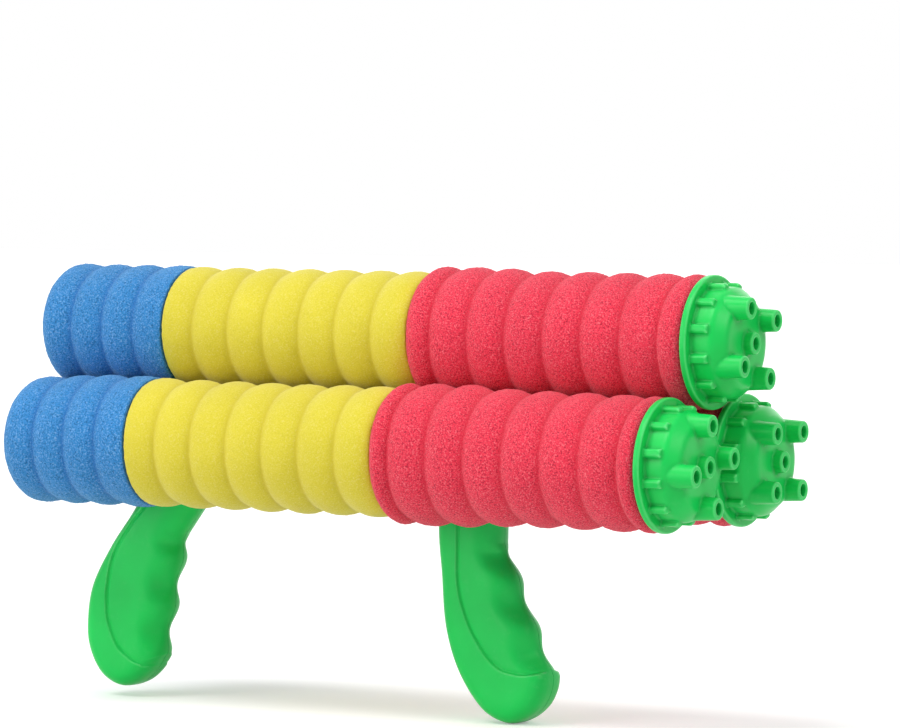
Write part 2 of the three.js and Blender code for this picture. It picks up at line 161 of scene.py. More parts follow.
def dress(piece, body, slotName, *nodes):
    global pieceCount
    piece.data.materials.clear()
    piece.data.materials.append(finishes[slotName])
    piece.data.shade_smooth()
    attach(piece, body)
    if nodes:
        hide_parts(*nodes)
    pieceCount += 1
    return piece


def sharpen(piece, degrees):
    piece.data.set_sharp_from_angle(angle=math.radians(degrees))


def markEdges(piece, hollows=False):
    # marks where points stand out, for a painted highlight on the plastic, and where they lie in, for painted
    # shade
    shortEdge = 0.3 * mm
    mesh = piece.data
    count = len(mesh.vertices)
    places, facing = np.empty(count * 3), np.empty(count * 3)
    mesh.vertices.foreach_get("co", places)
    mesh.vertices.foreach_get("normal", facing)
    places, facing = places.reshape(-1, 3), facing.reshape(-1, 3)
    ends = np.empty(len(mesh.edges) * 2, dtype=np.int32)
    mesh.edges.foreach_get("vertices", ends)
    first, last = ends.reshape(-1, 2).T
    way = places[last] - places[first]
    way /= np.maximum(np.linalg.norm(way, axis=1), shortEdge)[:, None]
    links = np.maximum(np.bincount(ends, minlength=count), 1)

    def gather(one, other):
        return (np.bincount(first, one, count) + np.bincount(last, other, count)) / links

    bend = gather(-(facing[first] * way).sum(axis=1), (facing[last] * way).sum(axis=1))
    levels = {"standingHighlight": bend}
    if hollows:
        levels["hollow"] = np.maximum(-bend, 0)
    for name, level in levels.items():
        for k in range(markRounds[name]):
            level = (level + gather(level[last], level[first])) / 2
        mark = mesh.attributes.new(name, "FLOAT", "POINT")
        mark.data.foreach_set("value", np.clip(level, 0, 1).astype(np.float32))


# Materials

class Nodes:
    def __init__(self, name):
        self.material = bpy.data.materials.new(name)
        self.material.use_nodes = True
        self.tree = self.material.node_tree
        self.shader = self.tree.nodes["Principled BSDF"]
        self.place = self.add("ShaderNodeTexCoord").outputs["Object"]

    def add(self, kind, **values):
        node = self.tree.nodes.new(kind)
        for key, value in values.items():
            if key in node.inputs:
                node.inputs[key].default_value = value
            else:
                setattr(node, key, value)
        return node

    def link(self, one, other):
        self.tree.links.new(one, other)

    def noise(self, scale, detail=2.0, roughness=0.5):
        node = self.add("ShaderNodeTexNoise", Scale=scale, Detail=detail, Roughness=roughness)
        self.link(self.place, node.inputs["Vector"])
        return node.outputs["Fac"]

    def cells(self, scale):
        node = self.add("ShaderNodeTexVoronoi", Scale=scale)
        self.link(self.place, node.inputs["Vector"])
        return node.outputs["Distance"]

    def ramp(self, source, stops):
        node = self.add("ShaderNodeValToRGB")
        elements = node.color_ramp.elements
        while len(elements) < len(stops):
            elements.new(0.5)
        for element, (at, colour) in zip(elements, stops):
            element.position = at
            element.color = (*colour, 1)
        self.link(source, node.inputs["Fac"])
        return node.outputs["Color"]

    def mix(self, factor, one, other, blend="MIX"):
        node = self.add("ShaderNodeMix", data_type="RGBA", blend_type=blend)
        for socket, value in ((node.inputs[0], factor), (node.inputs[6], one), (node.inputs[7], other)):
            if isinstance(value, bpy.types.NodeSocket):
                self.link(value, socket)
            elif isinstance(value, (int, float)):
                socket.default_value = value
            else:
                socket.default_value = (*value, 1)
        return node.outputs[2]

    def bump(self, height, strength, distance, below=None):
        node = self.add("ShaderNodeBump", Strength=strength, Distance=distance)
        self.link(height, node.inputs["Height"])
        if below:
            self.link(below, node.inputs["Normal"])
        return node.outputs["Normal"]


def shade(colour, factor):
    return tuple(min(1.0, c * factor) for c in colour)


def grey(level):
    return (level, level, level)


def foam(slotName, spec):
    # coarse grain, soft patches, pale fuzz at the edges and painted shade darkening the creases
    n = Nodes(slotName)
    base = tuple(c * t for c, t in zip(colours[slotName], spec["tone"]))
    grain = n.noise(spec["grainScale"], 2.0, 0.55)
    speckle = n.ramp(grain, [
        (0.33, shade(base, 1 - spec["dark"])),
        (0.46, base),
        (0.54, base),
        (0.68, tuple(c + spec["light"] * (p - c) for c, p in zip(base, spec["pale"]))),
    ])
    patches = n.ramp(n.noise(30, 3.0), [(0.3, grey(0.92)), (0.7, grey(1.0))])
    surface = n.mix(1.0, speckle, patches, "MULTIPLY")
    # painted shade: the colour goes towards creaseShadeColour in the rib creases and at the sleeve ends, where
    # shade falls
    creaseShade = n.add("ShaderNodeAttribute", attribute_name="creaseShade").outputs["Fac"]
    n.link(n.mix(creaseShade, surface, spec["creaseShadeColour"]), n.shader.inputs["Base Color"])
    cells = n.cells(spec["grainScale"] * 1.4)
    cellBump = n.bump(cells, strength=spec["bump"] * 0.4, distance=0.4 * mm)
    grainBump = n.bump(grain, strength=spec["bump"], distance=0.8 * mm, below=cellBump)
    n.link(grainBump, n.shader.inputs["Normal"])
    n.shader.inputs["Roughness"].default_value = 0.95
    n.shader.inputs["Specular IOR Level"].default_value = 0.15
    n.shader.inputs["Sheen Weight"].default_value = spec["sheen"]
    n.shader.inputs["Sheen Roughness"].default_value = 0.45
    n.shader.inputs["Sheen Tint"].default_value = (*spec["pale"], 1)
    n.shader.inputs["Subsurface Weight"].default_value = 0.08
    n.shader.inputs["Subsurface Radius"].default_value = spec["glow"]
    n.shader.inputs["Subsurface Scale"].default_value = 0.002
    return n.material


def plastic(slotName, spec):
    # moulded or extruded plastic: cloudy colour, fine satin texture, handling marks, a painted highlight on
    # standing edges and painted shade in hollows
    n = Nodes(slotName)
    base = colours[slotName]
    cloud = n.ramp(n.noise(spec["cloudScale"], 4.0), [
        (0.30, shade(base, 1 - spec["cloud"])), (0.70, shade(base, 1 + spec["cloud"])),
    ])
    rub = n.ramp(n.noise(240, 5.0, 0.7), [(0.55, grey(0.0)), (0.80, grey(1.0))])
    worn = tuple(c + 0.05 * (1 - c) for c in base)
    rubbed = n.mix(rub, grey(0.0), grey(spec["rub"]))
    # painted highlight: standing edges turn paler, as where light catches them
    standingHighlight = n.add("ShaderNodeAttribute", attribute_name="standingHighlight").outputs["Fac"]
    edges = n.ramp(standingHighlight, [(0.04, grey(0.0)), (0.14, grey(spec["edge"]))])
    pale = tuple(c + 0.35 * (p - c) for c, p in zip(base, spec["pale"]))
    # painted shade: hollows and the feet of ribs and nozzles turn darker
    hollow = n.add("ShaderNodeAttribute", attribute_name="hollow").outputs["Fac"]
    recessShade = n.ramp(hollow, [(0.005, grey(0.0)), (0.07, grey(spec["recessShade"]))])
    surface = n.mix(edges, n.mix(rubbed, cloud, worn), pale)
    n.link(n.mix(recessShade, surface, shade(base, 0.45)), n.shader.inputs["Base Color"])
    satin = n.noise(1500, 2.0)
    low, high = spec["roughness"]
    gloss = n.ramp(n.noise(90, 4.0), [(0.3, grey(low)), (0.7, grey(high))])
    n.link(gloss, n.shader.inputs["Roughness"])
    satinBump = n.bump(satin, strength=spec["texture"], distance=0.1 * mm)
    n.link(satinBump, n.shader.inputs["Normal"])
    n.shader.inputs["Specular IOR Level"].default_value = spec["gloss"]
    n.shader.inputs["Subsurface Weight"].default_value = spec["glow"]
    n.shader.inputs["Subsurface Radius"].default_value = spec["glowRadius"]
    n.shader.inputs["Subsurface Scale"].default_value = 0.003
    return n.material


def fineGrained(slotName, spec):
    # rubber or plated metal: fine clouds, uneven gloss and a faint texture
    n = Nodes(slotName)
    base = colours[slotName]
    dark, light = spec["shades"]
    tone = n.ramp(n.noise(spec["cloudScale"], 4.0), [(0.3, shade(base, dark)), (0.7, shade(base, light))])
    n.link(tone, n.shader.inputs["Base Color"])
    low, high = spec["roughness"]
    gloss = n.ramp(n.noise(spec["glossScale"], spec["glossDetail"]), [(0.3, grey(low)), (0.7, grey(high))])
    n.link(gloss, n.shader.inputs["Roughness"])
    texture = n.noise(spec["textureScale"], 2.0)
    fineBump = n.bump(texture, strength=spec["texture"], distance=spec["textureDepth"] * mm)
    n.link(fineBump, n.shader.inputs["Normal"])
    n.shader.inputs["Metallic"].default_value = spec["metal"]
    return n.material


finishes = {
    "red_foam": foam("red_foam", {
        "tone": (1.0, 0.85, 0.95), "grainScale": 1550, "dark": 0.52, "light": 0.24,
        "pale": (1.0, 0.62, 0.64), "bump": 0.9, "sheen": 0.28, "creaseShadeColour": (0.60, 0.018, 0.042),
        "glow": (1.0, 0.2, 0.2),
    }),
    "yellow_foam": foam("yellow_foam", {
        "tone": (0.79, 0.82, 0.66), "grainScale": 1500, "dark": 0.10, "light": 0.14,
        "pale": (1.0, 0.96, 0.70), "bump": 0.35, "sheen": 0.4, "creaseShadeColour": (0.52, 0.42, 0.028),
        "glow": (1.0, 0.8, 0.2),
    }),
    "blue_foam": foam("blue_foam", {
        "tone": (0.72, 0.99, 0.96), "grainScale": 1300, "dark": 0.48, "light": 0.28,
        "pale": (0.55, 0.80, 1.0), "bump": 0.9, "sheen": 0.36, "creaseShadeColour": (0.022, 0.135, 0.41),
        "glow": (0.2, 0.4, 1.0),
    }),
    # edge sets the painted highlight on standing edges, recessShade the painted shade in hollows
    "green_plastic": plastic("green_plastic", {
        "cloudScale": 45, "cloud": 0.06, "rub": 0.3, "roughness": (0.28, 0.40),
        "texture": 0.10, "gloss": 0.20, "edge": 1.0, "pale": (0.30, 0.95, 0.42), "recessShade": 0.55,
        "glow": 0.15, "glowRadius": (0.3, 1.0, 0.4),
    }),
    "white_pipe": plastic("white_pipe", {
        "cloudScale": 30, "cloud": 0.03, "rub": 0.5, "roughness": (0.34, 0.50),
        "texture": 0.08, "gloss": 0.5, "edge": 0.3, "pale": (0.9, 0.9, 0.9), "recessShade": 0.0,
        "glow": 0.08, "glowRadius": (1.0, 1.0, 1.0),
    }),
    "black_rubber": fineGrained("black_rubber", {
        "shades": (0.7, 1.8), "cloudScale": 160, "roughness": (0.55, 0.8), "glossScale": 320, "glossDetail": 3.0,
        "texture": 0.2, "textureScale": 2200, "textureDepth": 0.1, "metal": 0.0,
    }),
    "steel": fineGrained("steel", {
        "shades": (0.8, 1.2), "cloudScale": 500, "roughness": (0.22, 0.42), "glossScale": 900, "glossDetail": 4.0,
        "texture": 0.15, "textureScale": 3000, "textureDepth": 0.05, "metal": 1.0,
    }),
}
for part in frame["record"]["subparts"]:
    node = frame["nodes"][part["node"]]
    node.data.materials.clear()
    node.data.materials.append(finishes[part["material_slot"]])
print("materials made", len(finishes))


# Foam sleeves

sleeveShape = {
    "around": 208, "perRib": 22, "bore": 20.3, "groove": 22.9, "slot": 5.6, "webInset": 4.0,
    "soft": 0.1, "creaseShadeShare": 0.75, "apart": 0.06, "fray": 0.5, "gap": 0.3, "past": 1.0,
    "slotFrom": 20.5, "slotPast": 4.0, "neckDrop": 34.0,
    "waveScale": 55, "rippleScale": 190, "roughScale": 760, "frayScale": 620,
}
wholeRib = (19.2, -1, 1)  # width, and from where to where across the rib
redSleeve = {
    "node": "red_foam", "body": "barrels", "slot": "red_foam",
    "crest": 29.8, "depth": 3.0, "corner": 0.8,
    "ribs": [(None, -1, 1)] + [wholeRib] * 6 + [(None, -1, 1)],
    "bracket": "front_bracket", "seat": None,
    "uneven": 0.16, "rough": 0.28, "roll": (0.0, 1.0),
    "swellTop": [2.2, 2.5, 2.6, 1.5, 0.9, 0.7, 0.7, 0.5, 0.0],
    "swellUnder": [1.3, 1.6, 1.5, 0.5, 0, 0, 0, 0, 0],
    "swellUpper": [1.2, 1.2, 1.2, 0.1, 0, 0, 0, 0, 0],
}
yellowSleeve = {
    "node": "yellow_foam", "body": "barrels", "slot": "yellow_foam",
    "crest": 28.7, "depth": 2.6, "corner": 0.5,
    "ribs": [(None, -0.5, 1)] + [wholeRib] * 6, "bracket": None, "seat": (22.8, 1.9),
    "uneven": 0.18, "rough": 0.20, "roll": (0.0, 1.0),
    "swellTop": [2.0, 1.7, 1.6, 1.5, 1.4, 1.4, 1.6, 1.6], "swellUnder": [0, 0], "swellUpper": [0, 0],
}
blueSleeve = {
    "node": "blue_foam", "body": "plunger", "slot": "blue_foam",
    "crest": 29.1, "depth": 2.3, "corner": 0.5,
    "ribs": [(17.1, -1, 1)] * 3 + [(None, -1, 0.6)], "bracket": "rear_bracket", "seat": None,
    "uneven": 0.16, "rough": 0.36, "roll": (1.5, 6.0),
    "swellTop": [0.2, 0.9, 2.1, 2.4, 2.1], "swellUnder": [0, 0, 0, 0.1, 0.3], "swellUpper": [0, 0],
}


def sleeveRings(spec, start, end):
    # (x, radius, share of painted crease shade) along the outside; ribs without a width share what is left of the
    # length
    known = [width for width, first, last in spec["ribs"] if width]
    spare = (end - start - sum(known)) / (len(spec["ribs"]) - len(known))
    steps, soft = sleeveShape["perRib"], sleeveShape["soft"]
    rows = []
    x = start
    for width, first, last in spec["ribs"]:
        span = width or spare
        for k in range(steps + 1):
            across = first + (last - first) * k / steps
            near = max(0.0, (abs(across) - 1 + soft) / soft)
            drop = across ** 2 - soft * near ** 2
            # painted shade, strongest in the creases between ribs
            share = sleeveShape["creaseShadeShare"] * abs(across) ** 7
            if k or not rows:
                rows.append((x + span * k / steps, spec["crest"] - spec["depth"] * drop, share))
        x += span
    deep, reach = spec["roll"]  # the rear end rolls over
    rolled = [deep * max(0.0, 1 - (x - start) / reach) ** 2 for x, radius, share in rows]
    rows = [(x, radius - drop, share) for (x, radius, share), drop in zip(rows, rolled)]
    corner = spec["corner"]
    first, last = rows[0], rows[-1]
    # the sleeve ends also get painted shade, a dark line at each seam
    rows[0] = (start, first[1] - corner, 0.5)
    rows.insert(1, (start + 0.25 * corner, first[1] - 0.25 * corner, 0.3))
    rows[-1] = (end - 0.25 * corner, last[1] - 0.25 * corner, 0.3)
    rows.append((end, last[1] - corner, 0.5))
    return rows


def along(heights, share):
    place = min(max(share, 0.0), 0.9999) * (len(heights) - 1)
    k = int(place)
    blend = (1 - math.cos(math.pi * (place - k))) / 2
    return heights[k] + (heights[k + 1] - heights[k]) * blend


def makeSleeve(spec, side):
    node = f"{spec['node']}_{side}"
    low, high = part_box(node)
    start, end = low.x / mm, high.x / mm
    centre = axisOf(side)
    rows = sleeveRings(spec, start, end)
    bore = sleeveShape["bore"]
    inside = [(end, bore)]
    if spec["bracket"]:
        bracketLow, bracketHigh = (corner.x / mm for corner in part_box(spec["bracket"]))
        grooveLow, grooveHigh = bracketLow - sleeveShape["gap"], bracketHigh + sleeveShape["gap"]
        groove = sleeveShape["groove"]
        inside += [(grooveHigh, bore), (grooveHigh, groove), (grooveLow, groove), (grooveLow, bore)]
    if spec["seat"]:
        radius, depth = spec["seat"]
        inside += [(start + depth, bore), (start + depth, radius), (start, radius)]
    else:
        inside.append((start, bore))
    outside = [(x, radius) for x, radius, share in rows]
    profile = [(x * mm, radius * mm) for x, radius in outside + inside]
    bm = bmesh.new()
    # per-point share of the painted crease shade
    creaseShade = bm.verts.layers.float.new("creaseShade")
    rings = addTurned(bm, profile, sleeveShape["around"], centre)
    towards = [axisOf(other) - centre for other in sides if other != side]
    room = towards[0].length / 2 - sleeveShape["apart"] * mm
    towards = [way.normalized() for way in towards]
    over, under = ("swellUpper", "swellUpper") if side == "upper" else ("swellTop", "swellUnder")
    for row, (ring, (x, radius, share)) in enumerate(zip(rings, rows)):
        place = (x - start) / (end - start)
        fray = sleeveShape["fray"] * mm * ((row < 2) - (row > len(rows) - 3))
        above, below = along(spec[over], place), along(spec[under], place)
        for vert in ring:
            vert[creaseShade] = share
            out = Vector((0, vert.co.y - centre.y, vert.co.z - centre.z)).normalized()
            wave = noise.noise(vert.co * sleeveShape["waveScale"])
            wave += 0.5 * noise.noise(vert.co * sleeveShape["rippleScale"])
            roughness = noise.noise(vert.co * sleeveShape["roughScale"])
            grown = radius + spec["uneven"] * wave + spec["rough"] * roughness
            grown += above * max(0.0, out.z) + below * max(0.0, -out.z)
            for way in towards:  # swollen foam stops where it meets the next sleeve
                if out.dot(way) > 0.5:
                    grown = min(grown, room / mm / out.dot(way))
            ragged = fray * (0.5 + 0.5 * noise.noise(vert.co * sleeveShape["frayScale"]))
            vert.co = Vector((vert.co.x + ragged, centre.y, centre.z)) + out * grown * mm
    piece = objectFrom(f"{spec['node']}_sleeve_{side}", bm)
    if spec["bracket"]:
        tool = bmesh.new()
        half = sleeveShape["slot"] * mm / 2
        inset = sleeveShape["webInset"] * mm
        if spec["body"] == "plunger":
            slotStart, slotEnd = grooveLow * mm, (end + sleeveShape["past"]) * mm
        else:
            slotStart, slotEnd = (start - sleeveShape["past"]) * mm, grooveHigh * mm
        for other in sides:
            if other != side:
                way = axisOf(other) - centre
                turn = Matrix.Translation(centre) @ Matrix.Rotation(math.atan2(way.z, way.y), 4, "X")
                lean = inset if (sides.index(other) - sides.index(side)) % 3 == 1 else -inset
                near = (slotStart, sleeveShape["slotFrom"] * mm, lean - half)
                far = (slotEnd, way.length / 2 + sleeveShape["slotPast"] * mm, lean + half)
                addBox(tool, near, far, turn)
        cutAway(piece, objectFrom("slot_tool", tool))
        if side != "upper":
            neck = bmesh.new()
            bottom = centre.z - sleeveShape["neckDrop"] * mm
            addBox(neck, (slotStart, -half, bottom), (slotEnd, half, centre.z + inset))
            cutAway(piece, objectFrom("neck_tool", neck))
    dress(piece, spec["body"], spec["slot"], node)
    sharpen(piece, degrees=50)


for sleeve in (redSleeve, yellowSleeve, blueSleeve):
    for side in sides:
        makeSleeve(sleeve, side)
print("sleeves made", pieceCount)


# Nozzle caps

capShape = {
    "flange": 29.8, "flangeThick": 3.2, "edge": 0.8, "body": 24.7, "bore": 20.3,
    "shoulder": 11.0, "dome": 7.6, "faceWall": 2.4,
    "ribs": 12, "ribWidth": 4.0, "ribHeight": 2.2, "ribSteps": ((0, 0.6), (0.35, 0.85), (0.8, 1.0)),
    "ring": 18.4, "base": 5.6, "tip": 4.9, "nozzleBore": 2.75, "boreEnd": 40, "reach": 14.7, "centreReach": 12.1,
    "around": 128, "nozzleAround": 56, "boreAround": 40, "voxel": 0.42,
    # rise and drop of the dome, as shares of its height
    "domeLine": ((0.14, 0.02), (0.26, 0.07), (0.4, 0.17), (0.83, 0.56), (0.93, 0.70), (0.98, 0.86), (1.0, 1.05)),
    "turns": {"upper": 32, "right": 10, "left": 45},
}


def capShell():
    c = capShape
    face = c["shoulder"] + c["dome"]
    edge = c["edge"]
    outside = [(0, c["bore"]), (0, c["flange"] - edge)]
    for k in range(1, 6):
        angle = math.pi * k / 12
        outside.append((edge * (1 - math.cos(angle)), c["flange"] - edge * (1 - math.sin(angle))))
    for k in range(0, 7):
        angle = math.pi / 2 - math.pi * k / 12
        x = c["flangeThick"] - edge * (1 - math.cos(angle))
        outside.append((x, c["flange"] - edge * (1 - math.sin(angle))))
    outside.append((c["flangeThick"], c["body"] + 0.9))
    outside.append((c["flangeThick"] + 0.25, c["body"] + 0.3))
    outside.append((c["flangeThick"] + 0.9, c["body"]))
    outside.append((c["shoulder"], c["body"]))
    for rise, drop in c["domeLine"]:
        outside.append((c["shoulder"] + rise * c["dome"], c["body"] - drop * c["dome"]))
    outside.append((face, 4.0))
    outside.append((face, 0))
    inside = [
        (face - c["faceWall"], 0), (face - c["faceWall"], c["body"] - 1.4 * c["dome"]),
        (c["shoulder"] + 0.2 * c["dome"], c["bore"]),
    ]
    return outside + inside


def makeCap(side):
    c = capShape
    node = f"nozzle_cap_{side}"
    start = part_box(node)[0].x / mm
    centre = axisOf(side)
    turn = math.radians(c["turns"][side])
    places = [(0.0, 0.0, c["centreReach"])]
    for k in range(4):
        angle = turn + math.pi * k / 2
        places.append((c["ring"] * math.cos(angle), c["ring"] * math.sin(angle), c["reach"]))
    bm = bmesh.new()
    shell = [((start + x) * mm, r * mm) for x, r in capShell()]
    addTurned(bm, shell, c["around"], centre)
    piece = objectFrom(f"nozzle_cap_moulding_{side}", bm)
    tool = bmesh.new()
    for y, z, reach in places:
        first, last, inner = c["shoulder"] - 1, c["boreEnd"], c["nozzleBore"]
        bore = [(first, 0), (first, inner), (last, inner), (last, 0)]
        bore = [((start + x) * mm, r * mm) for x, r in bore]
        addTurned(tool, bore, c["boreAround"], centre + Vector((0, y * mm, z * mm)))
    cutAway(piece, objectFrom("bore_tool", tool))
    bm = bmesh.new()
    bm.from_mesh(piece.data)
    for y, z, reach in places:
        tip = c["shoulder"] + reach
        base = c["base"] if reach == c["reach"] else c["tip"] + 0.3
        inner = c["nozzleBore"]
        tube = [
            (c["shoulder"] + 1.5, inner), (c["shoulder"] + 1.5, base), (tip - 3.2, c["tip"] + 0.15),
            (tip - 0.4, c["tip"]), (tip, c["tip"] - 0.4), (tip, inner + 0.25), (tip - 0.25, inner),
        ]
        tube = [((start + x) * mm, r * mm) for x, r in tube]
        addTurned(bm, tube, c["nozzleAround"], centre + Vector((0, y * mm, z * mm)))
    for k in range(c["ribs"]):
        angle = 2 * math.pi * (k + 0.5) / c["ribs"]
        spin = Matrix.Translation(centre) @ Matrix.Rotation(angle, 4, "X")
        for narrow, rise in c["ribSteps"]:
            half = c["ribWidth"] / 2 - narrow
            ribEnd, ribTop = start + c["shoulder"] + 0.6 - narrow, c["body"] + rise * c["ribHeight"]
            low = ((start + c["flangeThick"] - 0.3) * mm, -half * mm, (c["body"] - 1) * mm)
            high = (ribEnd * mm, half * mm, ribTop * mm)
            addBox(bm, low, high, spin)
    bmesh.ops.recalc_face_normals(bm, faces=bm.faces[:])
    bm.to_mesh(piece.data)
    bm.free()
    skin(piece, c["voxel"] * mm, softness=3)
    markEdges(piece, hollows=True)
    dress(piece, "barrels", "green_plastic", node)


for side in sides:
    makeCap(side)
print("caps made", pieceCount)


# Grips

gripShape = {
    "half": 12.0, "rim": 0.9, "round": 11.0, "nose": 13.0, "rise": 14.0, "parting": 0.15, "pitch": 22.0,
    "finger": 1.0, "lip": 0.5, "voxel": 0.45, "neck": 7.3, "tang": (5.3, 2.8, 22.3), "drop": 30.0,
    "groove": 0.65, "grooveAt": 0.55, "grooveWidth": 0.5, "rimBlend": 0.5, "rimPower": 3.2, "nosePower": 2.3,
    "scoop": 0.36, "scoopAt": 0.8, "scoopWidth": 5.2, "scoopShift": 2.0, "scoopPower": 1.2, "scoopFade": 4.0,
    "cradleEnds": 100, "cradleFrom": -14, "cradleTo": 22, "cradleAround": 160,
}
frontGrip = {
    "name": "front", "body": "barrels",
    "back": [(-11.8, 26), (-12.6, -4), (-10.8, -24), (-8.3, -48.6), (-1.3, -68.7), (10.8, -85),
             (23, -90.8)],
    "heel": [(32, -89), (39.5, -83), (43.4, -75.5)],
    "front": [(43.9, -69), (18.3, -10), (18.9, 26)],
    "firstBulge": -24.5, "lipAt": -66.4, "cradle": (32.2, 30.8),
    "rim": [(-0.5, 40), (-0.3, -10), (0.6, -30), (5, -44), (10, -53.2), (16, -61), (22, -65.8),
            (29, -67.6), (38, -67.6), (60, -63)],
    "tangAt": 4.0, "screws": {"upper": (4, -12), "middle": (12, -42), "lower": (23, -75)},
}
rearGrip = {
    "name": "rear", "body": "plunger",
    "back": [(-10.5, 26), (-10.5, 6), (-14.2, -2.5), (-26.9, -20), (-37.4, -39.6), (-40, -59),
             (-37.6, -71.5), (-31, -81.6), (-21.5, -86.3)],
    "heel": [(-12.6, -84.6), (-5.2, -79)],
    "front": [(-0.1, -71), (10.5, -14), (20, -1), (20.6, 26)],
    "firstBulge": -25.4, "lipAt": -70.5, "cradle": (30.3, 30.3),
    "rim": [(-4, 40), (-5, 4), (-13, -8), (-22.5, -22), (-26.2, -38.5), (-26.5, -48), (-25.3, -56),
            (-20.5, -66.5), (-14, -72), (-8, -74.8), (-1, -75.4), (40, -68)],
    "tangAt": -1.2, "screws": {"upper": (-1.2, -12), "middle": (-16, -42), "lower": (-20, -69)},
}
screwShape = {
    "shank": 1.5, "head": 3.0, "seat": 6.0, "seatGap": 0.3, "rise": 2.0, "reach": 8.5, "clear": 0.3,
    "holeEnd": 30, "around": 40, "threads": 11, "point": 1.4, "cross": ((1.6, 0.4), (0.4, 1.6)), "crossDepth": 1.2,
    "crossTurn": 0.5,
}


def curvePoints(points, perSpan):
    # smooth curve through the points
    spans = len(points) - 1
    made = []
    for s in range(spans * perSpan + 1):
        i = min(s // perSpan, spans - 1)
        t = s / perSpan - i
        p1, p2 = Vector(points[i]), Vector(points[i + 1])
        p0 = Vector(points[max(i - 1, 0)])
        p3 = Vector(points[min(i + 2, spans)])
        v0, v1 = (p2 - p0) / 2, (p3 - p1) / 2
        cubic, square = 2 * p1 - 2 * p2 + v0 + v1, 3 * p2 - 3 * p1 - 2 * v0 - v1
        made.append(cubic * t ** 3 + square * t ** 2 + v0 * t + p1)
    return made


def fingerWave(grip, z):
    return math.cos(2 * math.pi * (z - grip["firstBulge"]) / gripShape["pitch"])


def gripLines(grip):
    # back and heel up to the lip, and the grooved front above it, in (x, z) from the grip's own zero
    low, high, *top = (Vector(p) for p in grip["front"])
    back = curvePoints(grip["back"] + grip["heel"] + [(low.x + gripShape["lip"], low.y)], 14)
    front = []
    for step in range(101):
        p = low.lerp(high, step / 100)
        if p.y >= grip["lipAt"]:
            fade = min(1.0, (high.y - p.y) / 6)
            front.append(Vector((p.x + gripShape["finger"] * fade * fingerWave(grip, p.y), p.y)))
    lip = low.lerp(high, (grip["lipAt"] - low.y) / (high.y - low.y))
    back.append(Vector((lip.x + gripShape["lip"], lip.y)))
    for one, other in zip([high] + top, top):
        front += [one.lerp(other, (k + 1) / 12) for k in range(12)]
    return back, front


def nearestTo(line):
    # finds the distance to a line of points and whether a place is on its left
    tree = kdtree.KDTree(len(line))
    for k, p in enumerate(line):
        tree.insert((p.x, p.y, 0), k)
    tree.balance()

    def find(place):
        k = tree.find((place.x, place.y, 0))[1]
        best, left = math.inf, False
        for i in range(max(k - 1, 0), min(k + 1, len(line) - 1)):
            run = line[i + 1] - line[i]
            way = place - line[i]
            t = min(1.0, max(0.0, way.dot(run) / run.length_squared))
            gap = (way - run * t).length
            if gap < best:
                best = gap
                left = run.x * way.y - run.y * way.x > 0
        return best, left
    return find


def roundedEdge(distance, half, rounding, power):
    # half thickness at a distance in from an edge that is rounded over its whole width
    inside = min(1.0, max(0.0, 1 - distance / rounding))
    return half * (1 - inside ** power) ** (1 / power)


def addPrism(bm, outline, half, at):
    ends = [[bm.verts.new(at + Vector((p.x, y, p.y)) * mm) for p in outline] for y in (-half, half)]
    count = len(outline)
    for k in range(count):
        n = (k + 1) % count
        bm.faces.new((ends[0][k], ends[0][n], ends[1][n], ends[1][k]))
    bm.faces.new(ends[0])
    bm.faces.new(list(reversed(ends[1])))


def gripForm(grip, at):
    # a slab with the side view's outline, thinned to a rounded back, raised rim, blunt nose and finger scoops
    g = gripShape
    back, front = gripLines(grip)
    bm = bmesh.new()
    addPrism(bm, back + front, g["half"], at)
    piece = objectFrom(f"{grip['name']}_grip_form", bm)
    skin(piece, g["voxel"] * mm, softness=0)
    toBack, toFront, toRim = nearestTo(back), nearestTo(front), nearestTo(curvePoints(grip["rim"], 14))
    panelHalf = g["half"] - g["rim"]
    for vert in piece.data.vertices:
        local = (vert.co - at) / mm
        place = Vector((local.x, local.z))
        fromBack = toBack(place)[0]
        fromFront = toFront(place)[0]
        fromRim, onPanel = toRim(place)
        share = min(1.0, max(0.0, 0.5 - (fromRim if onPanel else -fromRim) / g["rimBlend"]))
        rim = roundedEdge(fromBack, g["half"], g["round"], g["rimPower"])
        nose = roundedEdge(fromFront, panelHalf, g["nose"], g["nosePower"])
        trough = (0.5 - 0.5 * fingerWave(grip, place.y + g["scoopShift"])) ** g["scoopPower"]
        dip = trough * math.exp(-((fromFront - g["scoopAt"]) / g["scoopWidth"]) ** 2)
        low, high = grip["front"][0][1], grip["front"][1][1]
        lowFade, highFade = (place.y - low) / g["scoopFade"], (high - place.y) / g["scoopFade"]
        dip *= min(1.0, max(0.0, lowFade)) * min(1.0, max(0.0, highFade))
        backEdge = roundedEdge(fromBack, panelHalf, g["round"], g["rimPower"])
        panel = min(backEdge, nose) * (1 - g["scoop"] * dip)
        if onPanel:
            panel -= g["groove"] * math.exp(-((fromRim - g["grooveAt"]) / g["grooveWidth"]) ** 2)
        thick = (share * rim + (1 - share) * panel) * mm
        vert.co.y = min(thick, max(-thick, vert.co.y))
    skin(piece, g["voxel"] * mm, softness=2)
    return piece


def addScrewHole(bm, grip, name, at):
    w = screwShape
    x, z = grip["screws"][name]
    turn = Matrix.Rotation(math.pi / 2, 4, "Z")
    room = w["clear"]
    deep, narrow, wide = -w["reach"] - 2 * room, w["shank"] + room, w["head"] + room
    profile = [
        (deep, 0), (deep, narrow), (w["seat"], narrow), (w["seat"], wide), (w["holeEnd"], wide), (w["holeEnd"], 0),
    ]
    profile = [(d * mm, r * mm) for d, r in profile]
    addTurned(bm, profile, w["around"], at + Vector((x, 0, z)) * mm, turn)


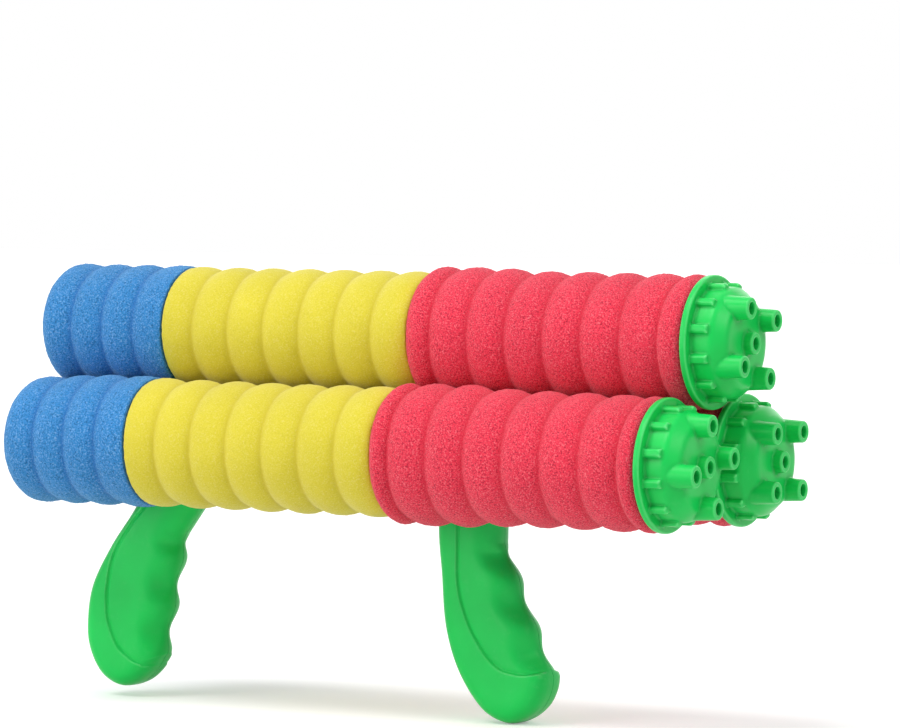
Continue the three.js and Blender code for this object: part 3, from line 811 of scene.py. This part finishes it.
def makeGrip(grip):
    g = gripShape
    bracketLow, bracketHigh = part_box(f"{grip['name']}_bracket")
    under = axisOf("right").z - g["drop"] * mm
    at = Vector(((bracketLow.x + bracketHigh.x) / 2, 0, under))
    piece = gripForm(grip, at)
    bm = bmesh.new()
    for side in ("right", "left"):
        centre = axisOf(side)
        rearRadius, frontRadius = grip["cradle"]
        ends = g["cradleEnds"]
        tube = [
            (-ends, 0), (-ends, rearRadius), (g["cradleFrom"], rearRadius),
            (g["cradleTo"], frontRadius), (ends, frontRadius), (ends, 0),
        ]
        addTurned(bm, [(at.x + x * mm, r * mm) for x, r in tube], g["cradleAround"], centre)
    cutAway(piece, objectFrom("cradle_tool", bm))
    wide, thick, deep = g["tang"]
    bm = bmesh.new()
    first, last = min(-g["neck"], grip["tangAt"] - wide), max(g["neck"], grip["tangAt"] + wide)
    addBox(bm, at + Vector((first, -thick, -deep)) * mm, at + Vector((last, thick, 40)) * mm)
    cutAway(piece, objectFrom("tang_tool", bm))
    bm = bmesh.new()
    for name in grip["screws"]:
        addScrewHole(bm, grip, name, at)
    cutAway(piece, objectFrom("screw_tool", bm))
    whole = piece.data
    for side, sign in (("right", -1), ("left", 1)):
        bm = bmesh.new()
        bm.from_mesh(whole)
        for point, normal in (((0, sign * g["parting"] * mm, 0), (0, -sign, 0)),
                              ((0, 0, at.z + g["rise"] * mm), (0, 0, 1))):
            geometry = bm.verts[:] + bm.edges[:] + bm.faces[:]
            cut = bmesh.ops.bisect_plane(
                bm, geom=geometry, plane_co=point, plane_no=normal, clear_outer=True)
            edges = [e for e in cut["geom_cut"] if isinstance(e, bmesh.types.BMEdge)]
            bmesh.ops.holes_fill(bm, edges=edges)
        half = objectFrom(f"{grip['name']}_grip_shell_{side}", bm)
        markEdges(half)
        dress(half, grip["body"], "green_plastic", f"{grip['name']}_grip_{side}")
        sharpen(half, degrees=40)
    bpy.data.objects.remove(piece)
    for name in grip["screws"]:
        makeScrew(grip, name, at)


def makeScrew(grip, name, at):
    # pan head with a cross recess, threaded shank
    w = screwShape
    x, z = grip["screws"][name]
    place = at + Vector((x, 0, z)) * mm
    turn = Matrix.Rotation(math.pi / 2, 4, "Z")
    seat = w["seat"] + w["seatGap"]
    top = seat + w["rise"]
    profile = [(-w["reach"], 0), (-w["reach"] + w["point"], w["shank"] - 0.5)]
    pitch = (seat - 1.0 + w["reach"] - w["point"]) / w["threads"]
    for k in range(w["threads"]):
        d = -w["reach"] + w["point"] + pitch * k
        profile += [(d + 0.35 * pitch, w["shank"] - 0.4), (d + 0.65 * pitch, w["shank"])]
    profile += [(seat - 0.9, w["shank"] - 0.3), (seat, w["shank"] - 0.3), (seat, w["head"] - 0.15),
                (seat + 0.5, w["head"]), (seat + 1.1, w["head"] - 0.15), (top - 0.4, w["head"] - 0.8),
                (top - 0.1, w["head"] - 1.6), (top, 0)]
    bm = bmesh.new()
    addTurned(bm, [(d * mm, r * mm) for d, r in profile], w["around"], place, turn)
    piece = objectFrom(f"{grip['name']}_screw_{name}_cross", bm)
    spin = Matrix.Translation(place) @ Matrix.Rotation(w["crossTurn"], 4, "Y")
    for wide, tall in w["cross"]:
        bm = bmesh.new()
        low = (-wide * mm, (top - w["crossDepth"]) * mm, -tall * mm)
        addBox(bm, low, (wide * mm, (top + 1) * mm, tall * mm), spin)
        cutAway(piece, objectFrom("recess_tool", bm))
    dress(piece, grip["body"], "steel", f"{grip['name']}_screw_{name}")
    sharpen(piece, degrees=35)


for grip in (frontGrip, rearGrip):
    makeGrip(grip)
print("grips made", pieceCount)


# Collars, rear caps, rods and pull tubes

turnedAround = 96


def makeTurned(name, node, body, slotName, profile, side):
    bm = bmesh.new()
    addTurned(bm, [(x * mm, r * mm) for x, r in profile], turnedAround, axisOf(side))
    piece = objectFrom(f"{name}_{side}", bm)
    dress(piece, body, slotName, f"{node}_{side}")
    sharpen(piece, degrees=35)


collar = {"flange": 22.5, "hole": 10.4, "spigot": 18.1, "flangeThick": 1.6}
rearPlug = {"flange": 23.0, "spigot": 18.1, "socket": 10.3, "floor": 3.0, "flangeThick": 1.5}
rod = {"outer": 10.0, "inner": 8.4}
pullTube = {"outer": 20.0, "inner": 18.4}
pipeEdge = 0.3
for side in sides:
    low, high = (corner.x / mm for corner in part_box(f"guide_collar_{side}"))
    seat = low + collar["flangeThick"]
    makeTurned("guide_collar_moulding", "guide_collar", "barrels", "green_plastic", [
        (low + 0.5, collar["hole"]), (low, collar["hole"] + 0.5), (low, collar["flange"] - 0.4),
        (low + 0.4, collar["flange"]), (seat - 0.2, collar["flange"]), (seat, collar["flange"] - 0.2),
        (seat, collar["spigot"]), (high - 0.6, collar["spigot"]), (high, collar["spigot"] - 0.6),
        (high, collar["hole"]),
    ], side)
    low, high = (corner.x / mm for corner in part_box(f"rear_cap_{side}"))
    seat = low + rearPlug["flangeThick"]
    makeTurned("rear_cap_moulding", "rear_cap", "plunger", "green_plastic", [
        (low, 0), (low, rearPlug["flange"] - 0.8), (low + 0.25, rearPlug["flange"] - 0.25),
        (low + 0.8, rearPlug["flange"]), (seat, rearPlug["flange"] - 0.1), (seat, rearPlug["spigot"]),
        (high - 0.6, rearPlug["spigot"]), (high, rearPlug["spigot"] - 0.6), (high, rearPlug["socket"]),
        (low + rearPlug["floor"], rearPlug["socket"]), (low + rearPlug["floor"], 0),
    ], side)
    for name, body, shape in (("plunger_rod", "plunger", rod), ("pull_tube", "plunger", pullTube)):
        low, high = (corner.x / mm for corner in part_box(f"{name}_{side}"))
        makeTurned(f"{name}_pipe", name, body, "white_pipe", [
            (low, shape["inner"] + pipeEdge), (low, shape["outer"] - pipeEdge), (low + pipeEdge, shape["outer"]),
            (high - pipeEdge, shape["outer"]), (high, shape["outer"] - pipeEdge),
            (high, shape["inner"] + pipeEdge), (high - pipeEdge, shape["inner"]), (low + pipeEdge, shape["inner"]),
        ], side)
print("turned pieces made", pieceCount)


# Floor, light and camera

def makeFloor():
    reach, tone, liftLevel = 14.0, 0.80, 0.30
    bm = bmesh.new()
    corners = ((-reach, -reach, 0), (reach, -reach, 0), (reach, reach, 0), (-reach, reach, 0))
    bm.faces.new([bm.verts.new(p) for p in corners])
    floor = objectFrom("floor", bm)
    n = Nodes("floor_white")
    tree = n.tree
    tree.nodes.remove(n.shader)
    diffuse = n.add("ShaderNodeBsdfDiffuse", Color=(*grey(tone), 1))
    lift = n.add("ShaderNodeEmission", Color=(1, 1, 1, 1))
    rays = n.add("ShaderNodeLightPath")
    seen = n.add("ShaderNodeMath", operation="MAXIMUM")
    n.link(rays.outputs["Is Camera Ray"], seen.inputs[0])
    n.link(rays.outputs["Is Glossy Ray"], seen.inputs[1])
    level = n.add("ShaderNodeMath", operation="MULTIPLY")
    level.inputs[1].default_value = liftLevel
    n.link(seen.outputs[0], level.inputs[0])
    n.link(level.outputs[0], lift.inputs["Strength"])
    both = n.add("ShaderNodeAddShader")
    n.link(diffuse.outputs[0], both.inputs[0])
    n.link(lift.outputs[0], both.inputs[1])
    n.link(both.outputs[0], tree.nodes["Material Output"].inputs["Surface"])
    floor.data.materials.append(n.material)
    floor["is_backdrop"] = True


def makeWorld(level):
    world = bpy.data.worlds.new("studio")
    bpy.context.scene.world = world
    world.use_nodes = True
    tree = world.node_tree
    tree.nodes.clear()
    rays = tree.nodes.new("ShaderNodeLightPath")
    seen = tree.nodes.new("ShaderNodeMath")
    seen.operation = "MAXIMUM"
    also = tree.nodes.new("ShaderNodeMath")
    also.operation = "MAXIMUM"
    tree.links.new(rays.outputs["Is Camera Ray"], seen.inputs[0])
    tree.links.new(rays.outputs["Is Glossy Ray"], seen.inputs[1])
    tree.links.new(seen.outputs[0], also.inputs[0])
    tree.links.new(rays.outputs["Is Transmission Ray"], also.inputs[1])
    fill = tree.nodes.new("ShaderNodeBackground")
    fill.inputs["Strength"].default_value = level
    shown = tree.nodes.new("ShaderNodeBackground")
    shown.inputs["Color"].default_value = (1, 1, 1, 1)
    fill.inputs["Color"].default_value = (1, 1, 1, 1)
    pick = tree.nodes.new("ShaderNodeMixShader")
    tree.links.new(also.outputs[0], pick.inputs[0])
    tree.links.new(fill.outputs[0], pick.inputs[1])
    tree.links.new(shown.outputs[0], pick.inputs[2])
    out = tree.nodes.new("ShaderNodeOutputWorld")
    tree.links.new(pick.outputs[0], out.inputs["Surface"])


def makeLamp(name, place, softness, level):
    # even light from one side, as from a large soft box far away
    lamp = bpy.data.lights.new(name, "SUN")
    lamp.angle = math.radians(softness)
    lamp.energy = level
    made = bpy.data.objects.new(name, lamp)
    made.location = place
    made.rotation_euler = (-Vector(place)).to_track_quat("-Z", "Y").to_euler()
    bpy.context.collection.objects.link(made)


def makeCamera(spec):
    azimuth, elevation, roll = (math.radians(spec[key]) for key in ("azimuth", "elevation", "roll"))
    flat = math.cos(elevation)
    back = Vector((math.sin(azimuth) * flat, -math.cos(azimuth) * flat, math.sin(elevation)))
    right = Vector((0, 0, 1)).cross(back).normalized()
    up = back.cross(right)
    turnedRight = right * math.cos(roll) + up * math.sin(roll)
    turnedUp = up * math.cos(roll) - right * math.sin(roll)
    data = bpy.data.cameras.new("view")
    data.lens = spec["lens"]
    data.sensor_width = 36
    made = bpy.data.objects.new("view", data)
    axes = Matrix((turnedRight, turnedUp, back)).transposed().to_4x4()
    made.matrix_world = Matrix.Translation(Vector(spec["eye"])) @ axes
    bpy.context.collection.objects.link(made)
    bpy.context.scene.camera = made


makeFloor()
makeWorld(level=0.32)
makeLamp("soft_top", (-0.5, -0.9, 2.2), softness=35, level=1.85)
makeLamp("soft_front", (-1.2, -2.0, 0.6), softness=40, level=1.25)
makeLamp("soft_right", (1.8, -0.35, 1.4), softness=30, level=1.0)
makeLamp("soft_back", (-0.7, 2.2, 1.1), softness=60, level=0.9)
makeCamera({
    "azimuth": 30.08, "elevation": 2.01, "roll": 0.62,
    "eye": (1.11575, -1.8818, 0.23738), "lens": 191.87,
})
bpy.context.scene.view_settings.view_transform = "Standard"
print("pieces made", pieceCount)

low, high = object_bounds()
